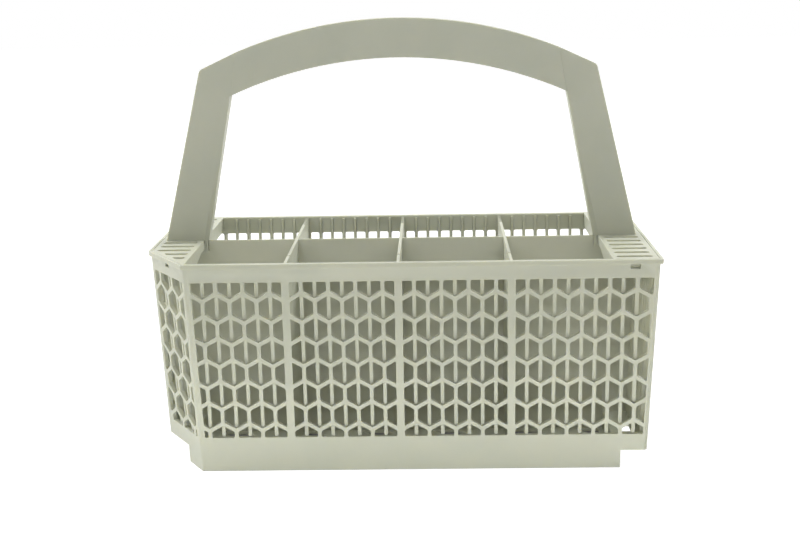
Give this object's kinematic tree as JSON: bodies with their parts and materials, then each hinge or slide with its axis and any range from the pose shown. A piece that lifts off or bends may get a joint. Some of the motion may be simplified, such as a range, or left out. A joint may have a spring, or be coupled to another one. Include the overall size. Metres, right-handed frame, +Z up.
{
  "type": "dishwasher cutlery basket",
  "caption": "Open-topped lattice cutlery basket with crossed dividers, a pierced floor on a low plinth and an arched carrying handle snapped into its rim.",
  "frame": {"origin": "middle of the overall box, on the plane the plinth stands on", "axes": "+X along the basket to the right as seen, +Y away from the seen long side, +Z up"},
  "size_m": [0.2448, 0.13, 0.2129],
  "materials": {
    "basket_plastic": "satin",
    "handle_plastic": "satin"
  },
  "bodies": {
    "root": {"basket": "basket_plastic", "handle_frame": "handle_plastic"}
  },
  "joints": []
}
